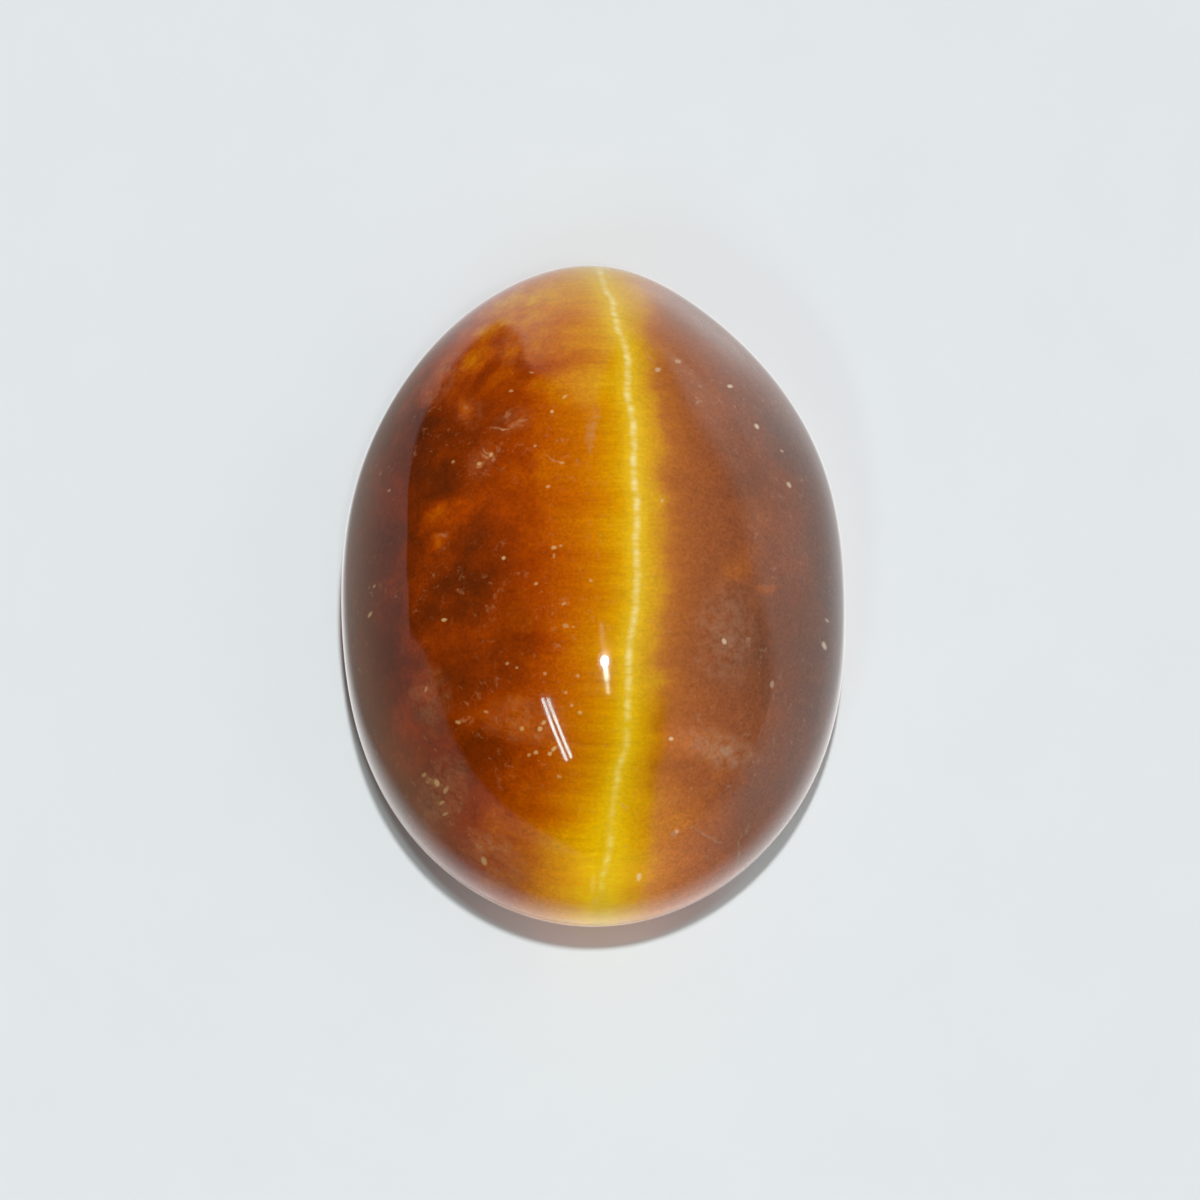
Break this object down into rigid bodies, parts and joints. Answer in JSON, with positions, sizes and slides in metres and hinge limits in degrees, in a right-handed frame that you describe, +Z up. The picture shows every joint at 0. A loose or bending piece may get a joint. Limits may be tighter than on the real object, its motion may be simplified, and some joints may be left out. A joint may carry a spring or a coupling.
{
  "type": "tigers eye cabochon",
  "caption": "Oval high-domed cabochon of golden-brown chatoyant quartz with a flat back and a rounded lower edge.",
  "frame": {"origin": "middle of the stone's plan box, on the plane of its flat back", "axes": "+Z up out of the dome, +Y along the stone's length towards its slightly pointed end, +X across its width"},
  "size_m": [0.012, 0.0162, 0.0068],
  "materials": {
    "amber_quartz": "polished"
  },
  "bodies": {
    "root": {"cabochon": "amber_quartz"}
  },
  "joints": []
}
